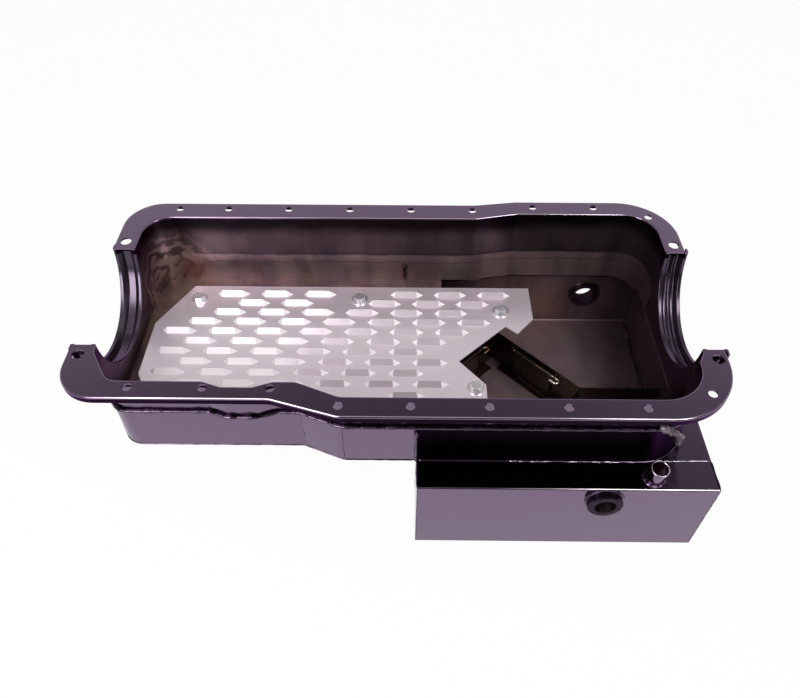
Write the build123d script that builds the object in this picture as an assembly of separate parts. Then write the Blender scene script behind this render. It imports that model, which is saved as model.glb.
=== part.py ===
"""Fabricated engine oil pan with a T-shaped deep sump, a louvred windage tray and a trap-door baffle.

Units are millimetres. The origin is the centre of the four end bolts, on the gasket face.
+X points to the deep sump, +Y across the rails, +Z out of the gasket face towards the engine.
The crankshaft runs along X, and its seals seat in the half-round channel at each end.
"""

from build123d import *
import os
from math import cos, radians, sin, sqrt

# ---- sheet and welds ----
sheet = 1.6  # rail, walls, floors and end plates
tray_sheet = 1.2
baffle_sheet = 1.2
lap = 10.0  # how far the lower wall laps up over the stamped rail
fold_radius = 1.4  # outside of the folds that show

# ---- plan of the mouth: the inner edge of the gasket flange ----
mouth_left = -253.5
mouth_right = 254.5
mouth_back_left = 112.0
mouth_back_right = 120.5
mouth_front_left = -101.0
mouth_front_right = -115.8
back_jog_start = 76.0
back_jog_end = 118.0
front_jog_start = -81.0
front_jog_end = -46.0
corner_step = 5.5  # the front right corner stands in from the end of the mouth by this
corner_step_start = -66.0
corner_step_end = -75.5
back_left_radius = 27.0
back_right_radius = 30.0
front_right_radius = 38.0
front_left_cut_x = 20.0  # clipped corner at the left end of the front rail
front_left_cut_y = 32.0
cut_radius = 14.0
jog_radius = 18.0
jog_lead_radius = 7.0
relief_start = -157.0  # connecting-rod relief pressed into the front rail
relief_end = -100.0
relief_depth = 5.8
relief_slope = 16.0
relief_radius = 7.0
corner_step_radius = 7.0

# ---- gasket flange ----
land_left = 21.3
land_right = 19.0
land_back_left = 23.5
land_back_right = 21.0
land_front_left = 18.5
land_front_right = 20.5
front_jog_lead = 20.0  # the outer edge starts its front jog this much earlier
corner_back_left_radius = 36.0
corner_front_left_radius = 34.0
corner_back_right_radius = 54.0
corner_front_right_radius = 60.0
lip_height = 6.4
rail_depth = 47.0

# ---- seal channels at the ends ----
seal_radius = 62.0
channel_width = 21.5
channel_depth = 5.0
channel_bend = 1.0  # top of each bend across the channel
rim_width = 3.4
twin_ridge = 2.6  # how far the middle ridge of the twin channel stays below its rims
rim_flange = 6.4
single_slope = 4.0  # run of the sides of the single channel
twin_slope = 2.8  # the same in the twin channel
end_wall_half = 64.0
end_wall_depth = 76.0
channel_gap = 1.2  # the lower wall stops this far under the channel

# ---- bolts ----
end_bolt_x = 265.0
end_bolt_y = 73.5
end_bolt_radius = 5.2
rail_bolt_radius = 3.9
bolt_pitch = 62.2
bolt_pitch_right = 61.7
back_bolt_inset = 9.2  # from the outer edge of the flange to the bolt line
front_bolt_inset = 11.2
back_row_start = -113.0  # X of the first of four even bolts in the back rail
back_row_gap = 61.2  # from it to the pair at the left end
back_pair_pitch = 49.3
back_right_start = 135.3
front_row_start = 10.8  # X of the first of four even bolts in the front rail
front_row_gap = 56.7
front_left_start = -215.0
front_left_pitch = 59.8
relief_pitch = 54.0  # the bolt past the connecting-rod relief
corner_bolt_x = 250.0
corner_bolt_back = 117.4
corner_bolt_front = -110.0

# ---- shallow section and deep sump ----
shallow_depth = 83.0
sump_left = 17.0
sump_right = 273.0
kick_out = 29.0  # reach of the sump beyond the lower wall in front
sump_depth = 178.0
bend_radius = 2.4
floor_shelf = 28.0  # the shallow floor reaches this far over the sump

# ---- windage tray ----
tray_height = 11.0  # tray top above the shallow floor
tray_back = 88.5
tray_front = -86.0
tray_left = -245.0
tray_left_half = 33.4  # half length of the left edge, between the clipped corners
tray_cut = 29.5
tray_right = 135.5
tray_right_end = 42.6  # front end of the right edge
tray_tail = (118.0, 22.2)
notch_back = (106.8, 32.2)
notch_tip = (57.9, -14.6)
notch_front = (82.0, -43.5)
louvre_fold = 23.2  # length of the fold line along the front of a louvre
louvre_crest = 21.4  # length of its raised edge
louvre_tip_left = 4.5  # pointed ends, from the fold line out to the sheared line behind
louvre_tip_right = 6.5
louvre_width = 4.1
louvre_rise = 5.2
louvre_pitch = 45.1
louvre_row_pitch = 13.4
louvre_first_x = 6.6
louvre_first_y = 72.8
louvre_edge_gap = 5.0
louvre_washer_gap = 1.5
tray_screws = [(-207.2, 68.7), (-41.3, 69.0), (-207.2, -62.0), (-41.3, -69.0)]
tray_arm_screws = [(103.5, 52.9), (72.2, -48.0)]  # beyond the shallow floor
screw_radius = 3.0
screw_clearance = 0.3
standoff_radius = 6.0
bracket_sheet = 2.5
bracket_width = 16.0
bracket_foot = 16.0
bracket_inset = 3.0  # from the end of the floor's shelf
bracket_bend = 1.0
washer_radius = 8.0
washer_thickness = 1.4
head_across = 10.0
head_height = 4.0
head_chamfer = 0.8
thread_reach = 8.0

# ---- trap-door baffle on the sump floor ----
box_from_left = 91.0  # centre of the diamond from the sump's left end
box_y = 4.5
box_half_diagonal = 79.5
baffle_height = 42.5
foot_width = 10.0
foot_inset = 14.0
window_width = 40.0
window_height = 24.0
window_sill = 5.0
door_width = 49.0
door_height = 32.0
door_sheet = 1.0
rod_radius = 1.5
rod_drop = 5.6  # rod axis below the top edge of the wall
rod_stand_off = 3.2  # rod axis from the inner face of the wall
rod_start = 26.0
rod_end = 88.0
hook_radius = 3.0
hook_return = 6.0
eye_gap = 2.4  # from the door to each eye of the rod
knuckle_gap = 0.08  # running clearance of the knuckle on the rod
knuckle_wall = 1.0
eye_width = 2.2
eye_wall = 1.6

# ---- bungs and tube ----
front_bung_from_end = 95.0  # from the sump's right end
front_bung_drop = 14.8  # under the kick-out's top sheet
front_bung_radius = 15.2
front_bung_bore = 8.6
front_bung_stand = 7.0
back_bung_from_end = 58.0
back_bung_rise = 43.9  # over the sump's floor
back_bung_radius = 18.0
back_bung_bore = 12.0
back_bung_stand = 11.0
bung_inside = 4.4
spigot_step = 2.0
bung_chamfer = 1.2
tube_from_end = 54.0
tube_inset = 12.0  # from the front of the kick-out
tube_radius = 8.2
tube_bore = 6.2
tube_height = 19.0
tube_lean = 8.0  # outward, so that the dipstick clears the flange
drain_y = -62.0
drain_rise = 18.0  # over the underside of the sump
drain_bung_radius = 14.0
drain_thread_radius = 7.0
drain_stand = 5.0
drain_washer_radius = 11.5
drain_washer_thickness = 1.5
drain_across = 19.0
drain_head = 8.0
drain_reach = 12.0

# ---- worked-out levels and places ----
floor_top = -shallow_depth
floor_under = floor_top - sheet
sump_under = -sump_depth
sump_floor = sump_under + sheet
sump_half_width = kick_out + 2 * sheet - mouth_front_right
lower_wall_top = -(rail_depth - lap)
tray_top = floor_top + tray_height
tray_under = tray_top - tray_sheet
baffle_top = sump_floor + baffle_height
wall_length = box_half_diagonal * sqrt(2)
box_x = sump_left + box_from_left
front_bung_x = sump_right - front_bung_from_end
front_bung_z = floor_under - front_bung_drop
back_bung_x = sump_right - back_bung_from_end
back_bung_z = sump_floor + back_bung_rise
tube_x = sump_right - tube_from_end
tube_y = tube_inset - sump_half_width
drain_z = sump_under + drain_rise
rod_z = baffle_top - rod_drop
far = 1000.0


def plate(face, top, thickness):
    """A flat face extruded down from z = top."""
    return extrude(Pos(0, 0, top) * face, amount=-thickness)


def outline(points, radii):
    """A closed face from corners and a fillet radius for each corner."""
    return make_face(FilletPolyline(*points, radius=radii, close=True))


def mouth_face(with_relief):
    """The inner edge of the flange, with or without the connecting-rod relief."""
    corner_right = mouth_right - corner_step
    points = [
        (mouth_left, mouth_back_left),
        (mouth_left, mouth_front_left + front_left_cut_y),
        (mouth_left + front_left_cut_x, mouth_front_left),
    ]
    radii = [back_left_radius, cut_radius, cut_radius]
    if with_relief:
        relief_y = mouth_front_left - relief_depth
        points += [
            (relief_start, mouth_front_left),
            (relief_start + relief_slope, relief_y),
            (relief_end - relief_slope, relief_y),
            (relief_end, mouth_front_left),
        ]
        radii += [relief_radius] * 4
    points += [
        (front_jog_start, mouth_front_left),
        (front_jog_end, mouth_front_right),
        (corner_right, mouth_front_right),
        (corner_right, corner_step_end),
        (mouth_right, corner_step_start),
        (mouth_right, mouth_back_right),
        (back_jog_end, mouth_back_right),
        (back_jog_start, mouth_back_left),
    ]
    radii += [
        jog_lead_radius,
        jog_radius,
        front_right_radius,
        corner_step_radius,
        corner_step_radius,
        back_right_radius,
        jog_radius,
        jog_radius,
    ]
    return outline(points, radii)


def flange_face():
    """The outer edge of the gasket flange."""
    left = mouth_left - land_left
    right = mouth_right + land_right
    back_left = mouth_back_left + land_back_left
    back_right = mouth_back_right + land_back_right
    front_left = mouth_front_left - land_front_left
    front_right = mouth_front_right - land_front_right
    points = [
        (left, back_left),
        (left, front_left),
        (front_jog_start - front_jog_lead, front_left),
        (front_jog_end, front_right),
        (right, front_right),
        (right, back_right),
        (back_jog_end, back_right),
        (back_jog_start, back_left),
    ]
    radii = [
        corner_back_left_radius,
        corner_front_left_radius,
        jog_radius,
        jog_radius,
        corner_front_right_radius,
        corner_back_right_radius,
        jog_radius,
        jog_radius,
    ]
    return outline(points, radii)


def grown(face, amount):
    return offset(face, amount=amount, kind=Kind.ARC)


def ring(outer, inner, top, bottom):
    """A thin upright wall between two outlines."""
    return plate(outer - inner, top, top - bottom)


def crank_cylinder(radius):
    """A cylinder along the crankshaft line, through the whole pan."""
    return Rot(0, 90, 0) * Cylinder(radius, far)


def side_of(x, sign):
    """Half space on one side of a plane X = x, as a large block."""
    return Pos(x + sign * far / 2, 0, 0) * Box(far, far, far)


def bolt_holes(spots, radius):
    depth = 4 * sheet
    return [Pos(x, y, 0) * Cylinder(radius, depth) for x, y in spots]


def rail_bolt_spots():
    back_left = mouth_back_left + land_back_left - back_bolt_inset
    back_right = mouth_back_right + land_back_right - back_bolt_inset
    front_left = mouth_front_left - land_front_left + front_bolt_inset
    front_right = mouth_front_right - land_front_right + front_bolt_inset
    back_pair = back_row_start - back_row_gap
    relief_bolt = front_left_start + front_left_pitch + relief_pitch
    spots = [(back_pair - back_pair_pitch, back_left), (back_pair, back_left)]
    spots += [(back_row_start + i * bolt_pitch, back_left) for i in range(4)]
    spots += [(back_right_start + i * bolt_pitch_right, back_right) for i in range(2)]
    spots += [(front_left_start + i * front_left_pitch, front_left) for i in range(2)]
    spots += [(relief_bolt, front_left), (front_row_start - front_row_gap, front_right)]
    spots += [(front_row_start + i * bolt_pitch_right, front_right) for i in range(4)]
    spots += [(corner_bolt_x, corner_bolt_back), (corner_bolt_x, corner_bolt_front)]
    return spots


# ---- stamped rail ----


def channel_section(mouth_x, side, stations):
    """Section of a seal channel. Stations are (distance out from the mouth, depth below the rims)."""
    top = list(stations) + [(channel_width, rim_flange)]
    under = [(channel_width - sheet, rim_flange), (channel_width - sheet, sheet)]
    under += [(u, depth + sheet) for u, depth in reversed(stations[:-1])]
    points = [(mouth_x + side * u, -(seal_radius + depth)) for u, depth in top + under]
    bends = [channel_bend] * (len(top) - 1) + [0.0]
    return outline(points, bends + [0.0] * len(under))


def single_stations():
    floor_start = rim_width + single_slope
    floor_end = channel_width - rim_width - single_slope
    return [
        (0.0, 0.0),
        (rim_width, 0.0),
        (floor_start, channel_depth),
        (floor_end, channel_depth),
        (channel_width - rim_width, 0.0),
        (channel_width, 0.0),
    ]


def twin_stations():
    middle = channel_width / 2
    return [
        (0.0, 0.0),
        (rim_width, 0.0),
        (rim_width + twin_slope, channel_depth),
        (middle - twin_slope, channel_depth),
        (middle, twin_ridge),
        (middle + twin_slope, channel_depth),
        (channel_width - rim_width - twin_slope, channel_depth),
        (channel_width - rim_width, 0.0),
        (channel_width, 0.0),
    ]


def seal_channel(mouth_x, side, stations):
    """Half-round channel under the crankshaft line."""
    return revolve(channel_section(mouth_x, side, stations), axis=Axis.X, revolution_arc=180)


def end_wall(mouth_x, side):
    """The part of the end wall that reaches down under the seal channel."""
    height = end_wall_depth + lower_wall_top
    middle = lower_wall_top - height / 2
    wall = Pos(mouth_x + side * sheet / 2, 0, middle) * Box(sheet, 2 * end_wall_half, height)
    return wall - crank_cylinder(seal_radius + channel_bend)


def make_flange(mouth):
    """The gasket flange and its turned-down lip, with both folds rounded."""
    edge = flange_face()
    flange = plate(edge, 0, lip_height) - plate(grown(edge, -sheet), -sheet, lip_height)
    flange -= plate(mouth, sheet, 4 * sheet)
    top = flange.faces().sort_by(Axis.Z)[-1]
    return fillet(top.edges(), fold_radius)


def make_pan_rail():
    mouth = mouth_face(with_relief=True)
    plain_mouth = mouth_face(with_relief=False)
    flange = make_flange(mouth)
    upper_wall = ring(grown(mouth, sheet), mouth, -sheet, lower_wall_top)
    relief_floor = plate(grown(mouth, sheet) - plain_mouth, lower_wall_top + sheet, sheet)
    lower_wall = ring(grown(plain_mouth, sheet), plain_mouth, lower_wall_top + sheet, -rail_depth)
    rail = flange + upper_wall + relief_floor + lower_wall
    # the flange ends inside the sheet of the channels, which reaches from the seal outwards
    rail -= crank_cylinder(seal_radius + sheet / 2)
    rail += end_wall(mouth_left, -1)
    rail += end_wall(mouth_right, 1)
    rail += seal_channel(mouth_left, -1, single_stations())
    rail += seal_channel(mouth_right, 1, twin_stations())
    end_spots = [(x, y) for x in (-end_bolt_x, end_bolt_x) for y in (-end_bolt_y, end_bolt_y)]
    rail -= bolt_holes(end_spots, end_bolt_radius)
    rail -= bolt_holes(rail_bolt_spots(), rail_bolt_radius)
    return rail


# ---- welded lower box ----


def lower_wall_inside():
    return grown(mouth_face(with_relief=False), sheet)


def lower_wall_outside():
    return grown(mouth_face(with_relief=False), 2 * sheet)


def make_lower_wall(side):
    """The wall that laps over the rail, left or right of the deep sump's left end."""
    wall = ring(lower_wall_outside(), lower_wall_inside(), lower_wall_top, floor_top)
    wall -= crank_cylinder(seal_radius + channel_depth + sheet + channel_gap)
    return wall & side_of(sump_left, side)


def make_shallow_floor():
    floor = plate(lower_wall_outside(), floor_top, sheet) & side_of(sump_left, -1)
    shelf = plate(lower_wall_inside(), floor_top, sheet)
    shelf = shelf & side_of(sump_left, 1) & side_of(sump_left + floor_shelf, -1)
    return floor + shelf


def tube_place():
    """Where the dipstick tube meets the kick-out's top, with z along the tube."""
    return Pos(tube_x, tube_y, floor_top) * Rot(tube_lean, 0, 0)


def make_sump_top():
    length = sump_right - sump_left
    middle = (sump_right + sump_left) / 2
    frame = Pos(middle, 0, 0) * Rectangle(length, 2 * sump_half_width)
    top = plate(frame - lower_wall_inside(), floor_top, sheet)
    upper_edges = top.edges().filter_by(Axis.X).group_by(Axis.Z)[-1]
    folds = upper_edges.filter_by(lambda edge: abs(abs(edge.center().Y) - sump_half_width) < sheet)
    return fillet(folds, fold_radius) - tube_place() * Cylinder(tube_bore, 4 * sheet)


def sump_section(inset, radius):
    """Cross-section of the deep sump, open at the top when inset."""
    half = sump_half_width - inset
    points = [
        (-half, floor_under),
        (-half, sump_under + inset),
        (half, sump_under + inset),
        (half, floor_under),
    ]
    return outline(points, [0.0, radius, radius, 0.0])


def bung_hole(x, y, z, radius):
    return Pos(x, y, z) * Rot(90, 0, 0) * Cylinder(radius - spigot_step, 4 * sheet)


def make_sump_wrap():
    """Front, floor and back of the deep sump, folded from one sheet."""
    section = sump_section(0, bend_radius + sheet) - sump_section(sheet, bend_radius)
    length = sump_right - sump_left - 2 * sheet
    wrap = extrude(Plane.YZ.offset(sump_left + sheet) * section, amount=length)
    wrap -= bung_hole(front_bung_x, -sump_half_width, front_bung_z, front_bung_radius)
    wrap -= bung_hole(back_bung_x, sump_half_width, back_bung_z, back_bung_radius)
    return wrap


def make_sump_end(x):
    return extrude(Plane.YZ.offset(x) * sump_section(0, bend_radius + sheet), amount=sheet)


def make_sump_end_right():
    hole = Pos(sump_right, drain_y, drain_z) * Rot(0, 90, 0)
    hole = hole * Cylinder(drain_bung_radius - spigot_step, 4 * sheet)
    return make_sump_end(sump_right - sheet) - hole


# ---- bungs and tube ----


def bung(bore, radius, stand):
    """A weld bung with its mouth at z = 0, standing on a wall at z = -stand."""
    inner_end = -(stand + sheet + bung_inside)
    spigot = radius - spigot_step
    points = [
        (bore, 0),
        (radius - bung_chamfer, 0),
        (radius, -bung_chamfer),
        (radius, -stand),
        (spigot, -stand),
        (spigot, inner_end),
        (bore, inner_end),
    ]
    return revolve(Plane.XZ * make_face(Polyline(*points, close=True)), axis=Axis.Z)


def hexagon_head(across, height, chamfer_size):
    """A hexagon head standing on z = 0, with its top corners turned down."""
    prism = extrude(RegularPolygon(across / sqrt(3), 6), amount=height)
    cone_radius = across / 2
    turned = Cylinder(across, height - chamfer_size, align=(Align.CENTER, Align.CENTER, Align.MIN))
    crown = Pos(0, 0, height - chamfer_size) * Cone(
        cone_radius + 2 * chamfer_size,
        cone_radius,
        chamfer_size,
        align=(Align.CENTER, Align.CENTER, Align.MIN),
    )
    return prism & (turned + crown)


def tube(radius, bore, height):
    base = (Align.CENTER, Align.CENTER, Align.MIN)
    return Cylinder(radius, height, align=base) - Cylinder(bore, height, align=base)


def make_front_bung():
    mouth = Pos(front_bung_x, -sump_half_width - front_bung_stand, front_bung_z) * Rot(90, 0, 0)
    return mouth * bung(front_bung_bore, front_bung_radius, front_bung_stand)


def make_back_bung():
    mouth = Pos(back_bung_x, sump_half_width + back_bung_stand, back_bung_z) * Rot(-90, 0, 0)
    return mouth * bung(back_bung_bore, back_bung_radius, back_bung_stand)


def drain_place(out):
    return Pos(sump_right + out, drain_y, drain_z) * Rot(0, 90, 0)


def make_drain_bung():
    return drain_place(drain_stand) * bung(drain_thread_radius, drain_bung_radius, drain_stand)


def make_drain_washer():
    washer = tube(drain_washer_radius, drain_thread_radius, drain_washer_thickness)
    return drain_place(drain_stand) * washer


def make_drain_plug():
    seat = drain_washer_thickness
    head = Pos(0, 0, seat) * hexagon_head(drain_across, drain_head, head_chamfer)
    shank = Pos(0, 0, seat - drain_reach / 2) * Cylinder(drain_thread_radius, drain_reach)
    return drain_place(drain_stand) * (head + shank)


def make_dipstick_tube():
    """A short leaning tube, cut level where it stands on the sheet."""
    spare = tube_radius * sin(radians(tube_lean)) + sheet
    whole = Pos(0, 0, -spare) * tube(tube_radius, tube_bore, tube_height + spare)
    return tube_place() * whole - Pos(0, 0, floor_top - far / 2) * Box(far, far, far)


# ---- windage tray ----


def tray_corners():
    return [
        (tray_left, tray_left_half),
        (tray_left + tray_cut, tray_back),
        (tray_right, tray_back),
        (tray_right, tray_right_end),
        tray_tail,
        notch_back,
        notch_tip,
        notch_front,
        (notch_front[0], tray_front),
        (tray_left + tray_cut, tray_front),
        (tray_left, -tray_left_half),
    ]


def inside_tray(x, y):
    """Whether a point lies inside the tray's outline, by counting edge crossings."""
    corners = tray_corners()
    inside = False
    for (x1, y1), (x2, y2) in zip(corners, corners[1:] + corners[:1]):
        if (y1 > y) != (y2 > y) and x < x1 + (y - y1) * (x2 - x1) / (y2 - y1):
            inside = not inside
    return inside


def louvre_fits(x, y):
    """Whether a louvre on this fold line keeps clear of the tray's edges and of every washer."""
    left = x - louvre_fold / 2 - louvre_tip_left
    right = x + louvre_fold / 2 + louvre_tip_right
    across = (left - louvre_edge_gap, (left + right) / 2, right + louvre_edge_gap)
    along = (y - louvre_edge_gap, y + louvre_width + louvre_edge_gap)
    if not all(inside_tray(u, v) for u in across for v in along):
        return False
    for screw_x, screw_y in tray_screws + tray_arm_screws:
        reach_x = max(left - screw_x, screw_x - right, 0)
        reach_y = max(y - screw_y, screw_y - y - louvre_width, 0)
        if sqrt(reach_x**2 + reach_y**2) < washer_radius + louvre_washer_gap:
            return False
    return True


def louvre_spots():
    """Rows of louvres, each second row moved along by half a pitch."""
    spots = []
    row = 0
    while louvre_first_y - row * louvre_row_pitch > tray_front:
        y = louvre_first_y - row * louvre_row_pitch
        shift = (row % 2) * louvre_pitch / 2
        for column in range(-7, 5):
            x = louvre_first_x + shift + column * louvre_pitch
            if louvre_fits(x, y):
                spots.append((x, y))
        row += 1
    return spots


def scoop():
    """A louvre on its fold line: a steep face between two pointed ends, and an upright back."""
    fold = louvre_fold / 2
    crest = louvre_crest / 2
    fold_left = (-fold, 0, 0)
    fold_right = (fold, 0, 0)
    crest_left = (-crest, louvre_width, louvre_rise)
    crest_right = (crest, louvre_width, louvre_rise)
    tip_left = (-fold - louvre_tip_left, louvre_width, 0)
    tip_right = (fold + louvre_tip_right, louvre_width, 0)
    sides = [
        (fold_left, fold_right, crest_right, crest_left),
        (fold_left, crest_left, tip_left),
        (fold_right, tip_right, crest_right),
        (tip_left, crest_left, crest_right, tip_right),
        (fold_left, tip_left, tip_right, fold_right),
    ]
    return Solid(Shell([Face(Wire.make_polygon(side)) for side in sides]))


def make_windage_tray():
    """The tray with every louvre raised, and the sheet under each one drawn up with it."""
    tray = plate(make_face(Polyline(*tray_corners(), close=True)), tray_top, tray_sheet)
    louvre = scoop()
    spots = [Pos(x, y, tray_top) for x, y in louvre_spots()]
    tray = tray + [spot * louvre for spot in spots]
    tray = tray - [spot * Pos(0, 0, -tray_sheet) * louvre for spot in spots]
    hole = Cylinder(screw_radius + screw_clearance, 4 * tray_sheet)
    return tray - [Pos(x, y, tray_top) * hole for x, y in tray_screws + tray_arm_screws]


def make_tray_standoffs():
    height = tray_under - floor_top
    standoff = tube(standoff_radius, screw_radius, height)
    return [Pos(x, y, floor_top) * standoff for x, y in tray_screws]


def tray_bracket(screw_x, screw_y):
    """A cranked arm from the floor's shelf out to one screw, with a weld nut under its end."""
    knee = sump_left + floor_shelf - bracket_inset
    tip = screw_x + washer_radius
    points = [
        (knee - bracket_foot, floor_top),
        (knee, floor_top),
        (knee, tray_under - bracket_sheet),
        (tip, tray_under - bracket_sheet),
        (tip, tray_under),
        (knee - bracket_sheet, tray_under),
        (knee - bracket_sheet, floor_top + bracket_sheet),
        (knee - bracket_foot, floor_top + bracket_sheet),
    ]
    outer = bracket_bend + bracket_sheet
    strap = outline(points, [0.0, outer, bracket_bend, 0.0, 0.0, outer, bracket_bend, 0.0])
    arm = extrude(Plane.XZ * strap, amount=bracket_width / 2, both=True)
    top_end = (Align.CENTER, Align.CENTER, Align.MAX)
    nut = Pos(screw_x, 0, tray_under) * Cylinder(standoff_radius, thread_reach, align=top_end)
    bore = Pos(screw_x, 0, tray_under) * Cylinder(screw_radius, thread_reach, align=top_end)
    return Pos(0, screw_y, 0) * (arm + nut - bore)


def make_tray_brackets():
    return [tray_bracket(x, y) for x, y in tray_arm_screws]


def make_tray_washers():
    washer = tube(washer_radius, screw_radius + screw_clearance, washer_thickness)
    return [Pos(x, y, tray_top) * washer for x, y in tray_screws + tray_arm_screws]


def make_tray_screws():
    head = hexagon_head(head_across, head_height, head_chamfer)
    length = washer_thickness + tray_sheet + thread_reach
    shank = Cylinder(screw_radius, length, align=(Align.CENTER, Align.CENTER, Align.MAX))
    screw = Pos(0, 0, tray_top + washer_thickness) * (head + shank)
    return [Pos(x, y, 0) * screw for x, y in tray_screws + tray_arm_screws]


# ---- trap-door baffle: four walls in a diamond, each with a door on a wire rod ----


def box_side(index):
    """Frame of one wall: x along it clockwise, y outward, from the wall's first corner."""
    corner_angle = radians(90 - 90 * index)
    corner_x = box_x + box_half_diagonal * cos(corner_angle)
    corner_y = box_y + box_half_diagonal * sin(corner_angle)
    return Pos(corner_x, corner_y, 0) * Rot(0, 0, -45 - 90 * index)


def block(low, high):
    """A box between two corners."""
    size = [b - a for a, b in zip(low, high)]
    middle = [(a + b) / 2 for a, b in zip(low, high)]
    return Pos(*middle) * Box(*size)


def along_wall(radius, start, end):
    """A round bar along the hinge line."""
    return Pos((start + end) / 2, -rod_stand_off, rod_z) * Rot(0, 90, 0) * Cylinder(radius, end - start)


door_start = (wall_length - door_width) / 2
door_end = door_start + door_width
eye_radius = rod_radius + eye_wall
knuckle_radius = rod_radius + knuckle_gap + knuckle_wall


def rod_eye(start):
    """A small lug on the wall that holds the rod."""
    low = (start, -rod_stand_off, rod_z - eye_radius)
    high = (start + eye_width, 0, rod_z + eye_radius)
    lug = block(low, high) + along_wall(eye_radius, start, start + eye_width)
    return lug - along_wall(rod_radius, start - 1, start + eye_width + 1)


def make_baffle_wall(index):
    wall = block((0, 0, sump_floor), (wall_length + baffle_sheet, baffle_sheet, baffle_top))
    foot_top = sump_floor + baffle_sheet
    wall += block((foot_inset, -foot_width, sump_floor), (wall_length - foot_inset, 0, foot_top))
    middle = wall_length / 2
    sill = sump_floor + window_sill
    wall -= block(
        (middle - window_width / 2, -baffle_sheet, sill),
        (middle + window_width / 2, 2 * baffle_sheet, sill + window_height),
    )
    wall += rod_eye(door_start - eye_gap - eye_width)
    wall += rod_eye(door_end + eye_gap)
    return box_side(index) * wall


def make_trap_door(index):
    """A hanging flap with its top edge rolled round the rod."""
    half = door_sheet / 2
    bottom = rod_z - door_height
    flap = block((door_start, -rod_stand_off - half, bottom), (door_end, half - rod_stand_off, rod_z))
    door = flap + along_wall(knuckle_radius, door_start, door_end)
    door -= along_wall(rod_radius + knuckle_gap, door_start - 1, door_end + 1)
    return box_side(index) * door


def make_hinge_rod(index):
    """A wire rod with one end turned back as a hook."""
    turn_y = -rod_stand_off - 2 * hook_radius
    straight = Line((rod_start, -rod_stand_off), (rod_end, -rod_stand_off))
    turn = ThreePointArc(
        (rod_end, -rod_stand_off),
        (rod_end + hook_radius, -rod_stand_off - hook_radius),
        (rod_end, turn_y),
    )
    tail = Line((rod_end, turn_y), (rod_end - hook_return, turn_y))
    path = Pos(0, 0, rod_z) * (straight + turn + tail)
    section = Plane(origin=(rod_start, -rod_stand_off, rod_z), z_dir=(1, 0, 0)) * Circle(rod_radius)
    return box_side(index) * sweep(section, path=path)


def make_side_baffle():
    """A wall from the diamond's right corner to the sump's right end."""
    half = baffle_sheet / 2
    low = (box_x, box_y - half, sump_floor)
    high = (sump_right - sheet, box_y + half, baffle_top)
    side = wall_length + 2 * baffle_sheet
    diamond = Pos(box_x, box_y, 0) * Rot(0, 0, 45) * Box(side, side, far)
    return block(low, high) - diamond


def write(name, solids):
    """One STEP file for one node."""
    if isinstance(solids, list):
        solids = Compound(children=solids)
    export_step(solids, os.path.join("parts", name + ".step"))


def main():
    os.makedirs("parts", exist_ok=True)
    write("pan_rail", make_pan_rail())
    write("lower_wall_left", make_lower_wall(-1))
    write("lower_wall_right", make_lower_wall(1))
    write("shallow_floor", make_shallow_floor())
    write("sump_top", make_sump_top())
    write("sump_wrap", make_sump_wrap())
    write("sump_end_left", make_sump_end(sump_left))
    write("sump_end_right", make_sump_end_right())
    write("windage_tray", make_windage_tray())
    write("tray_standoffs", make_tray_standoffs())
    write("tray_brackets", make_tray_brackets())
    write("tray_washers", make_tray_washers())
    write("tray_screws", make_tray_screws())
    write("side_baffle", make_side_baffle())
    for index in range(4):
        label = str(index + 1)
        write("baffle_wall_" + label, make_baffle_wall(index))
        write("trap_door_" + label, make_trap_door(index))
        write("hinge_rod_" + label, make_hinge_rod(index))
    write("front_bung", make_front_bung())
    write("back_bung", make_back_bung())
    write("dipstick_tube", make_dipstick_tube())
    write("drain_bung", make_drain_bung())
    write("drain_washer", make_drain_washer())
    write("drain_plug", make_drain_plug())


main()
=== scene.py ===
import bpy
import bmesh
import math
from mathutils import Vector, Matrix, noise


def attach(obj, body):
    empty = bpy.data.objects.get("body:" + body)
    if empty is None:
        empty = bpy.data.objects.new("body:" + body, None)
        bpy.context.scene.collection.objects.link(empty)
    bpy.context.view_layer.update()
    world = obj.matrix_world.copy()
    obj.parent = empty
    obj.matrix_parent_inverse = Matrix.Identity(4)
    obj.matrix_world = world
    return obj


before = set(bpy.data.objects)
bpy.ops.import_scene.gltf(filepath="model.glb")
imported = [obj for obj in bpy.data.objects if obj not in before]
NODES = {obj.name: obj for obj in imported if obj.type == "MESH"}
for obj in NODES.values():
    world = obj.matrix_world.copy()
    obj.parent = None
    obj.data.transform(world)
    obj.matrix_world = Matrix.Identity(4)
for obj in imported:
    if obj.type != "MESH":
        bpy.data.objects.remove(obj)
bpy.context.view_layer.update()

MM = 0.001

# ---- sizes shared with the CAD model, in millimetres ----
SHEET = 1.6
LAP = 2 * SHEET
MOUTH_LEFT, MOUTH_RIGHT = -253.5, 254.5
MIDDLE_X = (MOUTH_LEFT + MOUTH_RIGHT) / 2
HALF_MOUTH = (MOUTH_RIGHT - MOUTH_LEFT) / 2
BACK_LEFT, BACK_RIGHT = 112.0, 120.5
FRONT_LEFT, FRONT_RIGHT = -101.0, -115.8
JOG_LEFT, JOG_RIGHT = -81.0, -46.0
RELIEF_DEPTH = 5.8
LAP_Z = -37.0
FLOOR_Z = -83.0
SUMP_L, SUMP_R, SUMP_Y, SUMP_Z = 17.0, 273.0, 148.0, -178.0
SUMP_FLOOR = SUMP_Z + SHEET
CHANNEL_OUT = 69.8
CHANNEL_X = 240.0
FRONT_BUNG = (178.0, -SUMP_Y, -99.4)
BACK_BUNG = (215.0, SUMP_Y, -132.5)
DRAIN_BUNG = (SUMP_R, -62.0, -160.0)
TUBE_FOOT = (219.0, -136.0, FLOOR_Z)
TUBE_LEAN = math.radians(8.0)
TUBE_RADIUS, TUBE_HEIGHT = 7.2, 19.0


# ---- shader building blocks ----

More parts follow.
